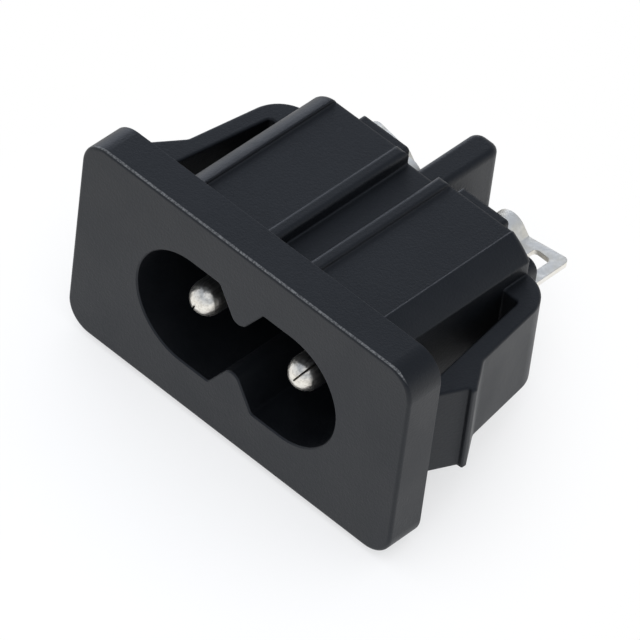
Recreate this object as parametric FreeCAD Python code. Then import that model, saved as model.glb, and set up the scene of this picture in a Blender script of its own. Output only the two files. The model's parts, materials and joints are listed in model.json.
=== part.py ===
import FreeCAD, Part
import math
import os

# Two-pole figure-8 panel inlet, snap-in, with rolled pins and slotted solder lugs. Millimetres.
# Frame: X to the right seen from the front, Y into the panel, Z up.
# Origin: centre of the flange's back face, on the plane of the panel's front skin.

V = FreeCAD.Vector

# Flange
FLANGE_WIDTH = 28.3
FLANGE_HEIGHT = 16.0
FLANGE_THICKNESS = 2.8
FLANGE_CORNER_RADIUS = 2.0
FLANGE_FRONT_ROUND = 0.25

# Pins and figure-8 socket
PIN_SPACING = 8.6
PIN_DIAMETER = 2.4
PIN_TIP_RECESS = 0.8
SOCKET_LOBE_RADIUS = 4.3
SOCKET_DEPTH = 13.0
SOCKET_WAIST = 4.2
SOCKET_NOTCH_ANGLE = 56.0
SOCKET_NOTCH_ROUND = 0.75
SOCKET_CORNER_ROUND = 0.3
SOCKET_MOUTH_CHAMFER = 0.1

# Body behind the panel
BODY_WIDTH = 19.0
BODY_HEIGHT = 11.7
BODY_LENGTH = 13.5
BODY_SHOULDER_RADIUS = 6.85
BODY_BEAD_RADIUS = 1.9
BODY_REAR_ROUND = 0.4
CHANNEL_WIDTH = 2.6
CHANNEL_DEPTH = 1.0
RIDGE_WIDTH = 1.0
PANEL_WIDTH = 5.4
PANEL_DEPTH = 0.3
RIDGE_ROUND = 0.35
STEP_ROUND = 0.1

# Rear plateau, its tabs and the barrier between the terminals
PLATEAU_HEIGHT = 7.3
PLATEAU_RISE = 0.7
PLATEAU_CORNER_RADIUS = 0.8
TAB_WIDTH = 4.05
TAB_OFFSET = 0.4
TAB_REACH = 5.3
TAB_CORNER_RADIUS = 0.25
BARRIER_THICKNESS = 2.2
BARRIER_HEIGHT = 8.2
BARRIER_REACH = 5.65
BARRIER_CORNER_RADIUS = 0.8
BARRIER_EDGE_ROUND = 0.45

# Snap arms, given for the right-hand one
ARM_HEIGHT = 6.86
ARM_REAR_GAP = 1.3
ARM_FRONT_GAP = 2.75
ARM_WEB_SETBACK = 0.2
ARM_WEB_THICKNESS = 2.3
ARM_REAR_THICKNESS = 0.93
ARM_RAMP_THICKNESS = 1.32
ARM_TONGUE_THICKNESS = 0.5
ARM_NOSE_REACH = 2.1
ARM_FREE_END_Y = 0.5
ARM_CATCH_Y = 3.1
ARM_CATCH_WIDTH = 0.4
ARM_NOSE_LAND = 0.4
ARM_RAMP_LENGTH = 2.2
ARM_REAR_ROUND = 2.6
ARM_SLOT_ROUND = 0.35
ARM_NOSE_ROUND = 0.12
ARM_RAMP_ROUND = 0.8
ARM_EDGE_CHAMFER = 0.1

# Terminals, given for the right-hand one
SHEET_THICKNESS = 0.4
SEAM_ANGLE = 28.0
SEAM_WIDTH = 0.12
SHANK_DIAMETER = 2.8
TUBE_TAIL = 0.6
TAIL_SHIFT = 0.45
TAIL_RADIUS = 1.27
TAIL_START_ANGLE = 190.0
TAIL_FALL_ANGLE = 48.0
TAIL_LOW_CUT = 1.4
TAIL_SETBACK = 0.45
LUG_BEND_RADIUS = 0.35
LUG_LEVEL = 0.05
LUG_REACH = 4.2
LUG_TAIL = 4.65
LUG_LENGTH = 3.5
LUG_CORNER_RADIUS = 0.4
SLOT_WIDTH = 1.35
SLOT_LENGTH = 2.0
SLOT_SIDE_MARGIN = 0.8
SLOT_REAR_MARGIN = 0.95
SLOT_CORNER_RADIUS = 0.3

# Clearance of the pin in its bore, and how far one form runs into or past the next
BORE_CLEARANCE = 0.02
OVERLAP = 1.0

# Sizes that follow from the ones above
FRONT_Y = -FLANGE_THICKNESS
SOCKET_FLOOR_Y = FRONT_Y + SOCKET_DEPTH
PIN_X = PIN_SPACING / 2
PIN_RADIUS = PIN_DIAMETER / 2
PIN_TIP_Y = FRONT_Y + PIN_TIP_RECESS
SHANK_RADIUS = SHANK_DIAMETER / 2
PLATEAU_Y = BODY_LENGTH + PLATEAU_RISE
BARRIER_REAR_Y = PLATEAU_Y + BARRIER_REACH
SMALL = 1e-4


def section(x, z):
    """Point of the XZ plane."""
    return V(x, 0, z)


def plan(x, y):
    """Point of the XY plane."""
    return V(x, y, 0)


def rounded_outline(corners, place):
    """Closed wire through corners (u, v, radius), each rounded by its own radius."""
    runs = []
    for index, (u, v, radius) in enumerate(corners):
        before = corners[index - 1]
        after = corners[(index + 1) % len(corners)]
        corner = place(u, v)
        back = (place(before[0], before[1]) - corner).normalize()
        ahead = (place(after[0], after[1]) - corner).normalize()
        half = back.getAngle(ahead) / 2
        reach = radius / math.tan(half)
        middle = corner + (back + ahead).normalize() * (radius / math.sin(half) - radius)
        runs.append((corner + back * reach, middle, corner + ahead * reach, radius))
    edges = []
    for index, (first, middle, last, radius) in enumerate(runs):
        start = runs[index - 1][2]
        if start.distanceToPoint(first) > SMALL:
            edges.append(Part.LineSegment(start, first).toShape())
        if radius > 0:
            edges.append(Part.Arc(first, middle, last).toShape())
    return Part.Wire(edges)


def prism(wire, direction, start, end):
    """Solid of a closed wire swept along a unit direction between two positions."""
    face = Part.Face(wire)
    face.translate(direction * start)
    return face.extrude(direction * (end - start))


def along_y(corners, start, end):
    return prism(rounded_outline(corners, section), V(0, 1, 0), start, end)


def along_z(corners, start, end):
    return prism(rounded_outline(corners, plan), V(0, 0, 1), start, end)


def four_way(quarter):
    """Corners of a whole outline from those of its first quarter, mirrored in X and in Z."""
    upper = quarter + [(-x, z, radius) for x, z, radius in reversed(quarter) if x > 0]
    return upper + [(x, -z, radius) for x, z, radius in reversed(upper)]


def two_way(upper):
    """Corners of a whole outline from those of its upper half, turned half a turn."""
    return upper + [(-x, -z, radius) for x, z, radius in upper]


def edges_at(shape, test):
    """Edges whose ends and middle all pass the test."""
    chosen = []
    for edge in shape.Edges:
        middle = edge.valueAt((edge.FirstParameter + edge.LastParameter) / 2)
        points = [vertex.Point for vertex in edge.Vertexes] + [middle]
        if all(test(point) for point in points):
            chosen.append(edge)
    return chosen


def near(value, target):
    return abs(value - target) < SMALL


def half_turn(shape):
    """Copy turned half a turn about the Y axis."""
    turned = shape.copy()
    turned.rotate(V(0, 0, 0), V(0, 1, 0), 180)
    return turned


def flange():
    """Plate with rounded corners and a softened front edge; its back edge is the sharp parting line."""
    quarter = [(FLANGE_WIDTH / 2, FLANGE_HEIGHT / 2, FLANGE_CORNER_RADIUS)]
    plate = along_y(four_way(quarter), FRONT_Y, 0)
    return plate.makeFillet(FLANGE_FRONT_ROUND, edges_at(plate, lambda p: near(p.y, FRONT_Y)))


def body():
    """Ribbed block with a shoulder about the pin axis at its upper right and a bead at its upper left.

    Half a turn on, the lower left has the shoulder and the lower right the bead.
    """
    side = BODY_WIDTH / 2
    top = BODY_HEIGHT / 2
    panel = top - PANEL_DEPTH
    channel = CHANNEL_WIDTH / 2
    panel_inner = channel + RIDGE_WIDTH
    panel_outer = panel_inner + PANEL_WIDTH
    brow = PANEL_DEPTH - STEP_ROUND
    quarter = [(side, top, 0),
               (panel_outer, top, STEP_ROUND), (panel_outer, panel, STEP_ROUND),
               (panel_inner, panel, STEP_ROUND), (panel_inner, top, brow),
               (channel, top, RIDGE_ROUND), (channel, top - CHANNEL_DEPTH, STEP_ROUND)]
    ribbed = along_y(four_way(quarter), -OVERLAP, BODY_LENGTH)
    reach = PIN_X + BODY_SHOULDER_RADIUS
    bead = [(side, top, 0), (-side, top, BODY_BEAD_RADIUS)]
    shoulder = [(reach, BODY_SHOULDER_RADIUS, BODY_SHOULDER_RADIUS), (-reach, BODY_SHOULDER_RADIUS, 0)]
    for upper in (bead, shoulder):
        block = along_y(two_way(upper), -OVERLAP, BODY_LENGTH)
        rear = edges_at(block, lambda p: near(p.y, BODY_LENGTH))
        ribbed = ribbed.common(block.makeFillet(BODY_REAR_ROUND, rear))
    return ribbed


def rear_plateau():
    """Raised pad on the rear wall with two tabs up and, half a turn on, two tabs down."""
    start = BODY_LENGTH - OVERLAP
    pad = along_y(four_way([(BODY_WIDTH / 2, PLATEAU_HEIGHT / 2, PLATEAU_CORNER_RADIUS)]), start, PLATEAU_Y)
    for pin_x in (-PIN_X, PIN_X):
        left = pin_x + TAB_OFFSET - TAB_WIDTH / 2
        right = left + TAB_WIDTH
        tab = along_y([(left, 0, 0), (right, 0, 0), (right, TAB_REACH, TAB_CORNER_RADIUS),
                       (left, TAB_REACH, TAB_CORNER_RADIUS)], start, PLATEAU_Y)
        pad = pad.fuse([tab, half_turn(tab)])
    return pad


def barrier():
    """Wall between the terminals, its rear end rounded in plan and its rims softened."""
    start = BODY_LENGTH - OVERLAP
    half_x = BARRIER_THICKNESS / 2
    half_z = BARRIER_HEIGHT / 2
    wall = along_z([(-half_x, start, 0), (half_x, start, 0), (half_x, BARRIER_REAR_Y, BARRIER_CORNER_RADIUS),
                    (-half_x, BARRIER_REAR_Y, BARRIER_CORNER_RADIUS)], -half_z, half_z)
    rim = edges_at(wall, lambda p: near(abs(p.z), half_z))
    rim = [edge for edge in rim if edge.CenterOfMass.y > start + SMALL]
    return wall.makeFillet(BARRIER_EDGE_ROUND, rim)


def snap_arm():
    """Right-hand arm: rear web, springing blade, hooked nose and slanted tongue."""
    side = BODY_WIDTH / 2
    root = side - OVERLAP / 2
    inner_front = side + ARM_FRONT_GAP
    inner_rear = side + ARM_REAR_GAP
    nose = inner_front + ARM_NOSE_REACH
    web_rear = BODY_LENGTH - ARM_WEB_SETBACK
    slot_end = web_rear - ARM_WEB_THICKNESS
    land_end = ARM_CATCH_Y + ARM_NOSE_LAND
    ramp_end = land_end + ARM_RAMP_LENGTH
    share = (ramp_end - ARM_FREE_END_Y) / (slot_end - ARM_FREE_END_Y)
    inner_ramp = inner_front + (inner_rear - inner_front) * share
    corners = [(root, slot_end, 0),
               (inner_rear, slot_end, ARM_SLOT_ROUND),
               (inner_front, ARM_FREE_END_Y, ARM_NOSE_ROUND),
               (inner_front + ARM_TONGUE_THICKNESS, ARM_FREE_END_Y, ARM_NOSE_ROUND),
               (nose - ARM_CATCH_WIDTH, ARM_CATCH_Y, ARM_NOSE_ROUND),
               (nose, ARM_CATCH_Y, ARM_NOSE_ROUND),
               (nose, land_end, ARM_NOSE_ROUND),
               (inner_ramp + ARM_RAMP_THICKNESS, ramp_end, ARM_RAMP_ROUND),
               (inner_rear + ARM_REAR_THICKNESS, web_rear, ARM_REAR_ROUND),
               (root, web_rear, 0)]
    arm = along_z(corners, -ARM_HEIGHT / 2, ARM_HEIGHT / 2)
    rim = edges_at(arm, lambda p: near(abs(p.z), ARM_HEIGHT / 2))
    rim = [edge for edge in rim if edge.CenterOfMass.x > root + SMALL]
    return arm.makeChamfer(ARM_EDGE_CHAMFER, rim)


def socket():
    """Figure-8 hollow: two lobes about the pins, with a rounded notch above and below."""
    angle = math.radians(SOCKET_NOTCH_ANGLE)
    apex = SOCKET_WAIST / 2 - SOCKET_NOTCH_ROUND * (1 / math.cos(angle) - 1)
    notch = (SOCKET_LOBE_RADIUS - apex) / math.tan(angle)
    quarter = [(PIN_X + SOCKET_LOBE_RADIUS, SOCKET_LOBE_RADIUS, SOCKET_LOBE_RADIUS),
               (notch, SOCKET_LOBE_RADIUS, SOCKET_CORNER_ROUND), (0, apex, SOCKET_NOTCH_ROUND)]
    return along_y(four_way(quarter), FRONT_Y, SOCKET_FLOOR_Y)


def pin_bore(pin_x):
    """Hole in the rear wall for the shank of one terminal."""
    start = SOCKET_FLOOR_Y - OVERLAP
    return Part.makeCylinder(SHANK_RADIUS + BORE_CLEARANCE, PLATEAU_Y + OVERLAP - start,
                             V(pin_x, start, 0), V(0, 1, 0))


def housing():
    """One moulding: flange, body, rear wall, barrier and both snap arms, then the hollows."""
    arm = snap_arm()
    solid = flange().fuse([body(), rear_plateau(), barrier(), arm, half_turn(arm)])
    solid = solid.cut([socket(), pin_bore(-PIN_X), pin_bore(PIN_X)]).removeSplitter()
    reach = PIN_X + SOCKET_LOBE_RADIUS + SMALL
    mouth = edges_at(solid, lambda p: near(p.y, FRONT_Y) and abs(p.x) < reach)
    mouth = [edge for edge in mouth if abs(edge.CenterOfMass.z) < SOCKET_LOBE_RADIUS + SMALL]
    return solid.makeChamfer(SOCKET_MOUTH_CHAMFER, mouth)


def rolled_pin():
    """Hollow pin rolled from sheet: domed tip, wider shank from the socket floor on, open seam all along."""
    inner = PIN_RADIUS - SHEET_THICKNESS
    shank_inner = SHANK_RADIUS - SHEET_THICKNESS
    shank = SOCKET_FLOOR_Y
    dome = PIN_TIP_Y + PIN_RADIUS
    end = PLATEAU_Y + TUBE_TAIL
    lean = PIN_RADIUS * math.sqrt(0.5)

    def at(radius, y):
        return V(PIN_X + radius, y, 0)

    tip = Part.Arc(at(0, PIN_TIP_Y), at(lean, dome - lean), at(PIN_RADIUS, dome)).toShape()
    walls = Part.makePolygon([at(PIN_RADIUS, dome), at(PIN_RADIUS, shank), at(SHANK_RADIUS, shank),
                              at(SHANK_RADIUS, end), at(shank_inner, end),
                              at(shank_inner, shank + SHEET_THICKNESS), at(inner, shank),
                              at(inner, dome), at(0, dome - inner), at(0, PIN_TIP_Y)])
    edges = [tip, *walls.Edges]
    shell = Part.Face(Part.Wire(edges)).revolve(V(PIN_X, 0, 0), V(0, 1, 0), 360)
    seam = Part.makeBox(SEAM_WIDTH, end - PIN_TIP_Y + 2 * OVERLAP, 2 * SHANK_RADIUS,
                        V(PIN_X - SEAM_WIDTH / 2, PIN_TIP_Y - OVERLAP, 0))
    seam.rotate(V(PIN_X, 0, 0), V(0, 1, 0), SEAM_ANGLE)
    return shell.cut(seam)


def sheet_strip(start, heading, moves):
    """Closed wire of a folded strip seen edge on; moves are (length, turn, radius) along its middle."""
    half = SHEET_THICKNESS / 2
    point = start
    angle = math.radians(heading)
    sides = {half: [], -half: []}
    ends = []
    for length, turn, radius in moves:
        path = [(point, angle)]
        if turn == 0:
            point = point + section(math.cos(angle), math.sin(angle)) * length
        else:
            arm = math.copysign(radius, turn)
            centre = point + section(-math.sin(angle), math.cos(angle)) * arm
            for part in (0.5, 1.0):
                bent = angle + math.radians(turn) * part
                path.append((centre - section(-math.sin(bent), math.cos(bent)) * arm, bent))
            point, angle = path.pop()
        path.append((point, angle))
        for side, edges in sides.items():
            points = [p + section(-math.sin(a), math.cos(a)) * side for p, a in path]
            curve = Part.LineSegment(*points) if turn == 0 else Part.Arc(*points)
            edges.append(curve.toShape())
            ends.append((points[0], points[-1]))
    first_cap = Part.LineSegment(ends[0][0], ends[1][0]).toShape()
    last_cap = Part.LineSegment(ends[-2][1], ends[-1][1]).toShape()
    return Part.Wire(sides[half] + [last_cap] + sides[-half][::-1] + [first_cap])


def tail_and_lug():
    """Opened tail behind the rear wall: an arch, a falling leg and the flat slotted solder lug."""
    centre_x = PIN_X - TAIL_SHIFT
    bend = TAIL_RADIUS - SHEET_THICKNESS / 2
    fall = math.radians(TAIL_FALL_ANGLE)
    begin = math.radians(-TAIL_START_ANGLE)
    start = section(centre_x + bend * math.sin(begin), bend * math.cos(begin))
    leg_drop = bend * math.cos(fall) - LUG_BEND_RADIUS * (1 - math.cos(fall)) - LUG_LEVEL
    leg = leg_drop / math.sin(fall)
    lug_x = centre_x + (bend + LUG_BEND_RADIUS) * math.sin(fall) + leg * math.cos(fall)
    lug_outer = PIN_X + LUG_REACH
    wire = sheet_strip(start, TAIL_START_ANGLE, [
        (0, -TAIL_START_ANGLE - TAIL_FALL_ANGLE, bend), (leg, 0, 0), (0, TAIL_FALL_ANGLE, LUG_BEND_RADIUS),
        (lug_outer - lug_x, 0, 0)])
    lug_end = PLATEAU_Y + LUG_TAIL
    lug_front = lug_end - LUG_LENGTH
    tail_end = lug_end - TAIL_SETBACK
    low_end = tail_end - TAIL_LOW_CUT
    strip = prism(wire, V(0, 1, 0), PLATEAU_Y, lug_end)
    left = centre_x - TAIL_RADIUS - OVERLAP
    beyond = TAIL_RADIUS + OVERLAP
    blank = along_z([(left, PLATEAU_Y, 0), (lug_x, PLATEAU_Y, 0), (lug_x, lug_front, SHEET_THICKNESS),
                     (lug_outer, lug_front, LUG_CORNER_RADIUS), (lug_outer, lug_end, LUG_CORNER_RADIUS),
                     (lug_x, tail_end, 0), (left, tail_end, 0)], -beyond, beyond)
    low_cut = Part.makeBox(2 * TAIL_RADIUS, TAIL_LOW_CUT + OVERLAP, TAIL_RADIUS,
                           V(centre_x - TAIL_RADIUS, low_end, -TAIL_RADIUS - SHEET_THICKNESS / 2))
    slot_right = lug_outer - SLOT_SIDE_MARGIN
    slot_left = slot_right - SLOT_WIDTH
    slot_rear = lug_end - SLOT_REAR_MARGIN
    slot_front = slot_rear - SLOT_LENGTH
    slot = along_z([(x, y, SLOT_CORNER_RADIUS) for x, y in (
        (slot_left, slot_front), (slot_right, slot_front), (slot_right, slot_rear), (slot_left, slot_rear))],
        -OVERLAP, OVERLAP)
    return strip.common(blank).cut([low_cut, slot])


terminal = rolled_pin().fuse(tail_and_lug()).removeSplitter()

os.makedirs("parts", exist_ok=True)
housing().exportStep("parts/housing.step")
terminal.exportStep("parts/terminal_right.step")
half_turn(terminal).exportStep("parts/terminal_left.step")
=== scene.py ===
import json
import math

import bpy
import numpy as np
from mathutils import Matrix, Vector


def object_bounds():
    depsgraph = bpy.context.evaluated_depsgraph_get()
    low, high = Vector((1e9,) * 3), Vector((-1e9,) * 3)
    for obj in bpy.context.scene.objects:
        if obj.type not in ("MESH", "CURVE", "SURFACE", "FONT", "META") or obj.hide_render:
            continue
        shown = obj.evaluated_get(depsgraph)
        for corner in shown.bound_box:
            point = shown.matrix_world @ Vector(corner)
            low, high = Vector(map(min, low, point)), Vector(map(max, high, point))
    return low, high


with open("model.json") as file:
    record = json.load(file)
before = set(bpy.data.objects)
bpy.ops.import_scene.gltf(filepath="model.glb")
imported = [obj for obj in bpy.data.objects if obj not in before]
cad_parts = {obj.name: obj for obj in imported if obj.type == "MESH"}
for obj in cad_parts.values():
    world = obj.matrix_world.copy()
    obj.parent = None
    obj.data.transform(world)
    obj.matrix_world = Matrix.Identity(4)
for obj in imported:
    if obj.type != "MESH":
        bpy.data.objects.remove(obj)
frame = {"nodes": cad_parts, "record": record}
cad_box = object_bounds()
scene = bpy.context.scene
scene.view_settings.view_transform = "Standard"

MM = 0.001

# The photograph's camera, in millimetres of the part's frame
CAMERA_AT = (211.12, -259.03, 332.93)
CAMERA_RIGHT = (0.716098, 0.691632, 0.094067)
CAMERA_UP = (-0.539328, 0.462715, 0.703577)
CAMERA_FOCUS_PIXELS = 7581.5
CAMERA_NEAR_MM = 10
PICTURE_PIXELS = 640
SENSOR_MM = 36.0

# Black moulding, in millimetres. The real grain is near 0.06, drawn coarser so that it shows
GRAIN_MM = 0.11
PIT_MM = 0.20
GRAIN_DEPTH_MM = 0.03
MELT_FLOW_MM = 5.0
FLANGE_SOFT_EDGE_MM = 0.04
BODY_SOFT_EDGE_MM = 0.22
EDGE_WEAR_MM = 0.25
# How far below the part's top the painted highlight on the flange's edge starts, and where it is full
HIGHLIGHT_BAND_MM = (1.5, 0.8)

# Colours and gloss of the moulding
MELT_DARK = "#111316"
MELT_PALE = "#16181B"
GRAIN_PEAK = "#222327"
WORN_EDGE = "#2A2B30"
# Colour of the painted highlight along the flange's top front edge
PAINTED_EDGE_HIGHLIGHT = "#A6A4A0"
GLOSS_TINT = "#F4F8FF"
MOULDING_IOR = 1.5
MOULDING_SPECULAR = 0.38
GRAIN_STRENGTH = 0.6
PIT_SHARE = 0.35

# A ramp is a value's start and end, then the result's, which are 0 and 1 where none are given
MELT_RAMP = (0.35, 0.65)
PEAK_RAMP = (0.60, 0.80, 0.0, 0.5)
WORN_RAMP = (0.88, 0.60, 0.0, 0.15)
FORWARD_RAMP = (-0.08, -0.28)
UPWARD_RAMP = (0.60, 0.80)
# Specks of the painted highlight on the flange's top front edge
HIGHLIGHT_SPECK_RAMP = (0.30, 0.70, 0.15, 0.80)
MOULDING_ROUGHNESS_RAMP = (0.30, 0.70, 0.42, 0.50)

# Plated strip, in millimetres
DRAW_LINE_MM = 0.14
DRAW_LENGTH_MM = 6.0
DRAW_LINE_DEPTH_MM = 0.01
PLATING_CLOUD_MM = 1.4
ROLLED_WAVE_MM = 0.45
ROLLED_WAVE_DEPTH_MM = 0.10
SHEARED_EDGE_MM = 0.10
SHEARED_ROUND_MM = 0.05
SHANK_MM = 2.0

# Colours, ramps and gloss of the plating
TAIL_PALE = "#F7F5F0"
TAIL_WARM = "#F0EBDF"
PIN_PALE = "#F2EEE5"
PIN_STREAK = "#8F887C"
SHEARED_EDGE = "#C4BDAE"
STREAK_RAMP = (0.55, 0.35, 0.0, 0.3)
CLOUD_RAMP = (0.40, 0.70)
SHEARED_RAMP = (0.80, 0.60, 0.0, 0.35)
TAIL_ROUGHNESS = 0.50
PIN_ROUGHNESS = 0.27
LINE_ROUGHNESS = 0.12
ROLLED_STRENGTH = 0.5
DRAW_LINE_STRENGTH = 0.15

# Rays that look for an edge, and rays that find the rounding of the thin sheet's edges
EDGE_RAYS = 8
SHEET_ROUND_RAYS = 6

# Card under the part. Near the part it shows the shadow, further out it is clear white
CARD_COLOR = "#E8E8E8"
FLOOR_RADIUS = 400 * MM
FLOOR_RIM_POINTS = 96
FLOOR_SHADOW_RADIUS = 12 * MM
FLOOR_CLEAR_RADIUS = 30 * MM
FLOOR_SHADOW_WHITENESS = 0.6
FLOOR_LIGHT = 2.6
FLOOR_LIGHT_SPREAD = math.radians(100)

# Points this close in height are one level, and a point this far back is behind the foot
SAME_LEVEL = 0.01 * MM
BEHIND_FOOT = 1 * MM

# Room. Its light is what every part of it gives back, where the white card's is 1
WHITE = "#FFFFFF"
DAYLIGHT = "#DCE8FF"
ROOM_COLOR = "#E0E9F8"
ROOM_LIGHT = 0.56
HORIZON_LEFT_LIFT = 0.3
HORIZON_RAMP = (0.45, 0.05)
BEHIND_RAMP = (-0.1, 0.5, 0.5, 1.0)

# Settings of a Map Range node that eases in and out of its ramp
SMOOTH = {"interpolation_type": "SMOOTHSTEP"}


def linear(code):
    """Linear RGBA of an sRGB hex colour."""
    srgb = np.array([int(code[i:i + 2], 16) for i in (1, 3, 5)]) / 255
    rgb = np.where(srgb <= 0.04045, srgb / 12.92, ((srgb + 0.055) / 1.055) ** 2.4)
    return (*rgb.tolist(), 1.0)


def per_mm(size_mm):
    """Texture scale at which one cell of a pattern measures size_mm on the part."""
    return 1 / (size_mm * MM)


def add(tree, kind, inputs=(), **settings):
    """Adds a node, sets its properties, links or sets its inputs, and gives back its outputs.

    Inputs are a dictionary by name, or a row in the order of the node's sockets.
    """
    node = tree.nodes.new(kind)
    for name, value in settings.items():
        setattr(node, name, value)
    for key, value in inputs.items() if isinstance(inputs, dict) else enumerate(inputs):
        socket = node.inputs[key]
        if isinstance(value, bpy.types.NodeSocket):
            tree.links.new(value, socket)
        else:
            socket.default_value = value
    return node.outputs


def new_material(name):
    """Empty node material and its tree."""
    material = bpy.data.materials.new(name)
    material.use_nodes = True
    material.node_tree.nodes.clear()
    return material, material.node_tree


def spark_eroded_black_pbt():
    """Black glass-filled polyester, moulded in a spark-eroded tool.

    To the eye: charcoal rather than black, a fine even grain that breaks up reflections and takes
    away some of the gloss, faint cloudy patches where the melt flowed, outer edges a little lighter,
    and a speckled painted highlight along the flange's top front edge, where it faces forwards and up.
    """
    material, tree = new_material("spark_eroded_black_pbt")
    place = add(tree, "ShaderNodeTexCoord")["Object"]
    grain = add(tree, "ShaderNodeTexNoise", {"Vector": place, "Scale": per_mm(GRAIN_MM), "Detail": 3.0,
                                             "Roughness": 0.6})["Fac"]
    pits = add(tree, "ShaderNodeTexVoronoi", {"Vector": place, "Scale": per_mm(PIT_MM)})["Distance"]
    flow = add(tree, "ShaderNodeTexNoise", {"Vector": place, "Scale": per_mm(MELT_FLOW_MM), "Detail": 4.0,
                                            "Roughness": 0.55, "Distortion": 0.6})["Fac"]

    # Melt flow and grain in the colour
    clouds = add(tree, "ShaderNodeMapRange", (flow, *MELT_RAMP), **SMOOTH)["Result"]
    tone = add(tree, "ShaderNodeMix", {"Factor": clouds, "A": linear(MELT_DARK), "B": linear(MELT_PALE)},
               data_type="RGBA")["Result"]
    peaks = add(tree, "ShaderNodeMapRange", (grain, *PEAK_RAMP), **SMOOTH)["Result"]
    speckled = add(tree, "ShaderNodeMix", {"Factor": peaks, "A": tone, "B": linear(GRAIN_PEAK)},
                   data_type="RGBA")["Result"]

    # Short rays sent into the material come out again only near an outer edge
    inside = add(tree, "ShaderNodeAmbientOcclusion", {"Distance": EDGE_WEAR_MM * MM},
                 inside=True, only_local=True, samples=EDGE_RAYS)["AO"]
    worn = add(tree, "ShaderNodeMapRange", (inside, *WORN_RAMP), **SMOOTH)["Result"]
    softened = add(tree, "ShaderNodeMix", {"Factor": worn, "A": speckled, "B": linear(WORN_EDGE)},
                   data_type="RGBA")["Result"]

    # Painted highlight: light specks on the upper half of the flange's rounded top edge, where it faces
    # forwards and up, stand in for the glint of light there
    face_way = add(tree, "ShaderNodeNewGeometry")["Normal"]
    facing = add(tree, "ShaderNodeSeparateXYZ", (face_way,))
    forwards = add(tree, "ShaderNodeMapRange", (facing["Y"], *FORWARD_RAMP), **SMOOTH)["Result"]
    upwards = add(tree, "ShaderNodeMapRange", (facing["Z"], *UPWARD_RAMP), **SMOOTH)["Result"]
    slanted = add(tree, "ShaderNodeMath", (forwards, upwards), operation="MULTIPLY")["Value"]
    spot = add(tree, "ShaderNodeSeparateXYZ", (place,))
    band = [cad_box[1][2] - below * MM for below in HIGHLIGHT_BAND_MM]
    top = add(tree, "ShaderNodeMapRange", (spot["Z"], *band), **SMOOTH)["Result"]
    highlight_place = add(tree, "ShaderNodeMath", (slanted, top), operation="MULTIPLY")["Value"]
    highlight_specks = add(tree, "ShaderNodeMapRange", (grain, *HIGHLIGHT_SPECK_RAMP), **SMOOTH)["Result"]
    painted_highlight = add(tree, "ShaderNodeMath", (highlight_place, highlight_specks), operation="MULTIPLY")["Value"]
    color = add(tree, "ShaderNodeMix", {"Factor": painted_highlight, "A": softened, "B": linear(PAINTED_EDGE_HIGHLIGHT)},
                data_type="RGBA")["Result"]

    # The flange's back face is at Y = 0, and edges behind it are moulded softer
    soft_edge_ramp = (0.0, BODY_SOFT_EDGE_MM * MM, FLANGE_SOFT_EDGE_MM * MM, BODY_SOFT_EDGE_MM * MM)
    soft_edge = add(tree, "ShaderNodeMapRange", (spot["Y"], *soft_edge_ramp), **SMOOTH)["Result"]
    rounded = add(tree, "ShaderNodeBevel", {"Radius": soft_edge}, samples=EDGE_RAYS)["Normal"]
    relief = add(tree, "ShaderNodeMix", {"Factor": PIT_SHARE, "A": grain, "B": pits},
                 data_type="FLOAT")["Result"]
    normal = add(tree, "ShaderNodeBump", {"Strength": GRAIN_STRENGTH, "Distance": GRAIN_DEPTH_MM * MM,
                                          "Height": relief, "Normal": rounded})["Normal"]
    roughness = add(tree, "ShaderNodeMapRange", (flow, *MOULDING_ROUGHNESS_RAMP), **SMOOTH)["Result"]
    shader = add(tree, "ShaderNodeBsdfPrincipled",
                 {"Base Color": color, "Roughness": roughness, "IOR": MOULDING_IOR,
                  "Specular IOR Level": MOULDING_SPECULAR, "Specular Tint": linear(GLOSS_TINT),
                  "Normal": normal})["BSDF"]
    add(tree, "ShaderNodeOutputMaterial", {"Surface": shader})
    return material


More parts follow.
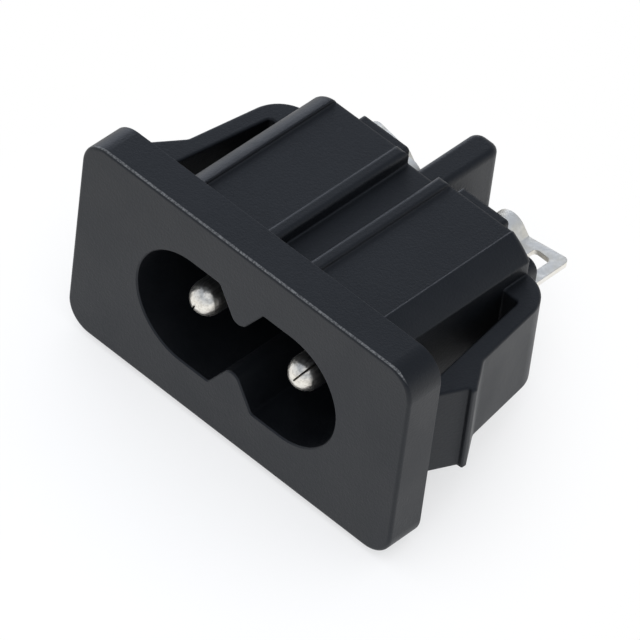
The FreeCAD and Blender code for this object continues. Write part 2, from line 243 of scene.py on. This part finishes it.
def satin_nickel_on_brass():
    """Brass strip plated with nickel, then rolled and stamped.

    To the eye: a pale metal, whitish and satin on the tails, tumbled brighter and warmer on the pins,
    with soft uneven reflections from the rolling, fine draw lines along the strip, and a duller line
    where the sheet was sheared.
    """
    material, tree = new_material("satin_nickel_on_brass")
    place = add(tree, "ShaderNodeTexCoord")["Object"]

    # The finish changes along the shank, which starts where the free part of the pin ends
    pin = next(mount for mount in frame["record"]["mounts"] if mount["kind"] == "pin")
    shank_start = pin["pos_m"][1] + pin["dims"]["length_mm"] * MM / 2
    shank_end = shank_start + SHANK_MM * MM
    depth = add(tree, "ShaderNodeSeparateXYZ", (place,))["Y"]
    on_pin = add(tree, "ShaderNodeMapRange", (depth, shank_end, shank_start), **SMOOTH)["Result"]

    # Draw lines along the strip, which show on the tumbled pins as slightly darker streaks and nicks
    line_scale = (per_mm(DRAW_LINE_MM), per_mm(DRAW_LENGTH_MM), per_mm(DRAW_LINE_MM))
    along = add(tree, "ShaderNodeMapping", {"Vector": place, "Scale": line_scale})["Vector"]
    lines = add(tree, "ShaderNodeTexNoise", {"Vector": along, "Scale": 1.0, "Detail": 3.0})["Fac"]
    streaks = add(tree, "ShaderNodeMapRange", (lines, *STREAK_RAMP), **SMOOTH)["Result"]
    pin_tint = add(tree, "ShaderNodeMix",
                   {"Factor": streaks, "A": linear(PIN_PALE), "B": linear(PIN_STREAK)},
                   data_type="RGBA")["Result"]

    # Warmer clouds in the plating, and duller metal where short inner rays find a sheared edge
    cloud = add(tree, "ShaderNodeTexNoise", {"Vector": place, "Scale": per_mm(PLATING_CLOUD_MM),
                                             "Detail": 3.0})["Fac"]
    clouds = add(tree, "ShaderNodeMapRange", (cloud, *CLOUD_RAMP), **SMOOTH)["Result"]
    tail_tint = add(tree, "ShaderNodeMix",
                    {"Factor": clouds, "A": linear(TAIL_PALE), "B": linear(TAIL_WARM)},
                    data_type="RGBA")["Result"]
    tint = add(tree, "ShaderNodeMix", {"Factor": on_pin, "A": tail_tint, "B": pin_tint},
               data_type="RGBA")["Result"]
    inside = add(tree, "ShaderNodeAmbientOcclusion", {"Distance": SHEARED_EDGE_MM * MM},
                 inside=True, only_local=True, samples=EDGE_RAYS)["AO"]
    sheared = add(tree, "ShaderNodeMapRange", (inside, *SHEARED_RAMP), **SMOOTH)["Result"]
    color = add(tree, "ShaderNodeMix", {"Factor": sheared, "A": tint, "B": linear(SHEARED_EDGE)},
                data_type="RGBA")["Result"]

    # Duller tails, and draw lines in the gloss
    satin_ramp = (0.0, 1.0, TAIL_ROUGHNESS, PIN_ROUGHNESS)
    satin = add(tree, "ShaderNodeMapRange", (on_pin, *satin_ramp))["Result"]
    roughness = add(tree, "ShaderNodeMath", (lines, LINE_ROUGHNESS, satin),
                    operation="MULTIPLY_ADD")["Value"]

    # Soft waves from the rolling, under the draw lines
    waves = add(tree, "ShaderNodeTexNoise", {"Vector": place, "Scale": per_mm(ROLLED_WAVE_MM),
                                             "Detail": 1.0})["Fac"]
    rounded = add(tree, "ShaderNodeBevel", {"Radius": SHEARED_ROUND_MM * MM},
                  samples=SHEET_ROUND_RAYS)["Normal"]
    rolled = add(tree, "ShaderNodeBump",
                 {"Strength": ROLLED_STRENGTH, "Distance": ROLLED_WAVE_DEPTH_MM * MM, "Height": waves,
                  "Normal": rounded})["Normal"]
    normal = add(tree, "ShaderNodeBump",
                 {"Strength": DRAW_LINE_STRENGTH, "Distance": DRAW_LINE_DEPTH_MM * MM, "Height": lines,
                  "Normal": rolled})["Normal"]
    shader = add(tree, "ShaderNodeBsdfPrincipled",
                 {"Base Color": color, "Metallic": 1.0, "Roughness": roughness, "Normal": normal})["BSDF"]
    add(tree, "ShaderNodeOutputMaterial", {"Surface": shader})
    return material


def matt_white_card():
    """Matt white card: white to the eye and in reflections, with a soft shadow close to the part."""
    material, tree = new_material("matt_white_card")
    place = add(tree, "ShaderNodeTexCoord")["Object"]
    distance = add(tree, "ShaderNodeVectorMath", (place,), operation="LENGTH")["Value"]
    white_ramp = (FLOOR_SHADOW_RADIUS, FLOOR_CLEAR_RADIUS, FLOOR_SHADOW_WHITENESS, 1.0)
    whiteness = add(tree, "ShaderNodeMapRange", (distance, *white_ramp), **SMOOTH)["Result"]
    path = add(tree, "ShaderNodeLightPath")
    mirrored = add(tree, "ShaderNodeMath", (path["Is Glossy Ray"], path["Is Transmission Ray"]),
                   operation="MAXIMUM")["Value"]
    seen = add(tree, "ShaderNodeMath", (path["Is Camera Ray"], mirrored), operation="MAXIMUM")["Value"]
    share = add(tree, "ShaderNodeMath", (seen, whiteness), operation="MULTIPLY")["Value"]
    card = add(tree, "ShaderNodeBsdfDiffuse", {"Color": linear(CARD_COLOR)})["BSDF"]
    white = add(tree, "ShaderNodeEmission", {"Color": linear(WHITE), "Strength": 1.0})["Emission"]
    face = add(tree, "ShaderNodeMixShader", (share, card, white))["Shader"]
    # From below the card is clear, so a low camera still sees the part
    below = add(tree, "ShaderNodeNewGeometry")["Backfacing"]
    clear = add(tree, "ShaderNodeBsdfTransparent")["BSDF"]
    one_sided = add(tree, "ShaderNodeMixShader", (below, face, clear))["Shader"]
    add(tree, "ShaderNodeOutputMaterial", {"Surface": one_sided})
    return material


def floor_plane(points):
    """Foot point and upward normal of the plane that touches the lowest edge and leans on the rear.

    The plane z = z0 + slope (y - y0) passes through the rearmost of the lowest points, and its
    slope is the smallest that any point behind that one allows.
    """
    lowest = points[points[:, 2] < points[:, 2].min() + SAME_LEVEL]
    foot = lowest[lowest[:, 1].argmax()]
    behind = points[points[:, 1] > foot[1] + BEHIND_FOOT]
    slope = ((behind[:, 2] - foot[2]) / (behind[:, 1] - foot[1])).min()
    normal = np.array([0, -slope, 1]) / math.hypot(slope, 1)
    return np.array([0, foot[1], foot[2]]), normal


def build_floor():
    """Round card that the part leans on: a rim of points at equal turns, laid in the floor plane."""
    mesh = frame["nodes"]["housing"].data
    points = np.empty(len(mesh.vertices) * 3)
    mesh.vertices.foreach_get("co", points)
    foot, normal = floor_plane(points.reshape(-1, 3))
    turns = np.linspace(0, 2 * np.pi, FLOOR_RIM_POINTS, endpoint=False)
    across = np.array([1, 0, 0])
    deep = np.array([0, normal[2], -normal[1]])
    rim = foot + FLOOR_RADIUS * (np.outer(np.cos(turns), across) + np.outer(np.sin(turns), deep))
    made = bpy.data.meshes.new("floor")
    made.from_pydata(rim.tolist(), [], [list(range(FLOOR_RIM_POINTS))])
    made.materials.append(matt_white_card())
    floor = bpy.data.objects.new("floor", made)
    scene.collection.objects.link(floor)
    return floor


def build_camera():
    """Camera at the photograph's place, its axes given by the picture's right and up."""
    data = bpy.data.cameras.new("photo_camera")
    data.sensor_width = SENSOR_MM
    data.lens = CAMERA_FOCUS_PIXELS / PICTURE_PIXELS * SENSOR_MM
    data.clip_start = CAMERA_NEAR_MM * MM
    right = Vector(CAMERA_RIGHT).normalized()
    back = right.cross(Vector(CAMERA_UP)).normalized()
    turn = Matrix((right, back.cross(right), back)).transposed()
    camera = bpy.data.objects.new("photo_camera", data)
    camera.matrix_world = Matrix.Translation(Vector(CAMERA_AT) * MM) @ turn.to_4x4()
    scene.collection.objects.link(camera)
    scene.camera = camera


def softbox(name, toward, distance_mm, size_mm, power, color):
    """Square area lamp seen from the part in a given direction, facing the part's middle."""
    lamp = bpy.data.lights.new(name, "AREA")
    lamp.shape = "SQUARE"
    lamp.size = size_mm * MM
    lamp.energy = power
    lamp.color = linear(color)[:3]
    middle = (cad_box[0] + cad_box[1]) / 2
    away = Vector(toward).normalized()
    turn = away.to_track_quat("Z", "Y").to_matrix().to_4x4()
    box = bpy.data.objects.new(name, lamp)
    box.matrix_world = Matrix.Translation(middle + away * distance_mm * MM) @ turn
    box.visible_camera = False
    scene.collection.objects.link(box)


def light_floor(floor):
    """Wide overhead light on the card alone, so that it is white and still takes the part's shadow."""
    lamp = bpy.data.lights.new("card_light", "SUN")
    lamp.energy = FLOOR_LIGHT
    lamp.angle = FLOOR_LIGHT_SPREAD
    above = bpy.data.objects.new("card_light", lamp)
    scene.collection.objects.link(above)
    only_floor = bpy.data.collections.new("lit_by_card_light")
    only_floor.objects.link(floor)
    above.light_linking.receiver_collection = only_floor


def build_world():
    """Even room, white to the camera and, near the horizon, in reflections.

    The white horizon is full behind the part, half as strong in front, and higher on the left.
    """
    world = bpy.data.worlds.new("studio")
    world.use_nodes = True
    tree = world.node_tree
    tree.nodes.clear()
    way = add(tree, "ShaderNodeTexCoord")["Generated"]
    toward = add(tree, "ShaderNodeSeparateXYZ", (way,))
    leftward = add(tree, "ShaderNodeMath", (toward["X"], 0.0), operation="MINIMUM")["Value"]
    height = add(tree, "ShaderNodeMath", (leftward, HORIZON_LEFT_LIFT, toward["Z"]),
                 operation="MULTIPLY_ADD")["Value"]
    low = add(tree, "ShaderNodeMapRange", (height, *HORIZON_RAMP), **SMOOTH)["Result"]
    behind = add(tree, "ShaderNodeMapRange", (toward["Y"], *BEHIND_RAMP), **SMOOTH)["Result"]
    horizon = add(tree, "ShaderNodeMath", (low, behind), operation="MULTIPLY")["Value"]
    path = add(tree, "ShaderNodeLightPath")
    mirrored = add(tree, "ShaderNodeMath", (path["Is Glossy Ray"], path["Is Transmission Ray"]),
                   operation="MAXIMUM")["Value"]
    reflected = add(tree, "ShaderNodeMath", (mirrored, horizon), operation="MULTIPLY")["Value"]
    shown = add(tree, "ShaderNodeMath", (path["Is Camera Ray"], reflected), operation="MAXIMUM")["Value"]
    light_ramp = (0.0, 1.0, ROOM_LIGHT, 1.0)
    strength = add(tree, "ShaderNodeMapRange", (horizon, *light_ramp))["Result"]
    room = add(tree, "ShaderNodeBackground",
               {"Color": linear(ROOM_COLOR), "Strength": strength})["Background"]
    white = add(tree, "ShaderNodeBackground", {"Color": linear(WHITE), "Strength": 1.0})["Background"]
    surface = add(tree, "ShaderNodeMixShader", (shown, room, white))["Shader"]
    add(tree, "ShaderNodeOutputWorld", {"Surface": surface})
    scene.world = world


def dress(node, material):
    """Gives a CAD node its finish."""
    slots = frame["nodes"][node].data.materials
    slots.clear()
    slots.append(material)


plating = satin_nickel_on_brass()
dress("housing", spark_eroded_black_pbt())
dress("terminal_left", plating)
dress("terminal_right", plating)
light_floor(build_floor())
build_camera()
build_world()
softbox("overhead", toward=(0.35, -0.45, 0.82), distance_mm=500, size_mm=300, power=0.2, color=WHITE)
softbox("window", toward=(-0.85, 0.50, 0.15), distance_mm=500, size_mm=350, power=0.6, color=DAYLIGHT)
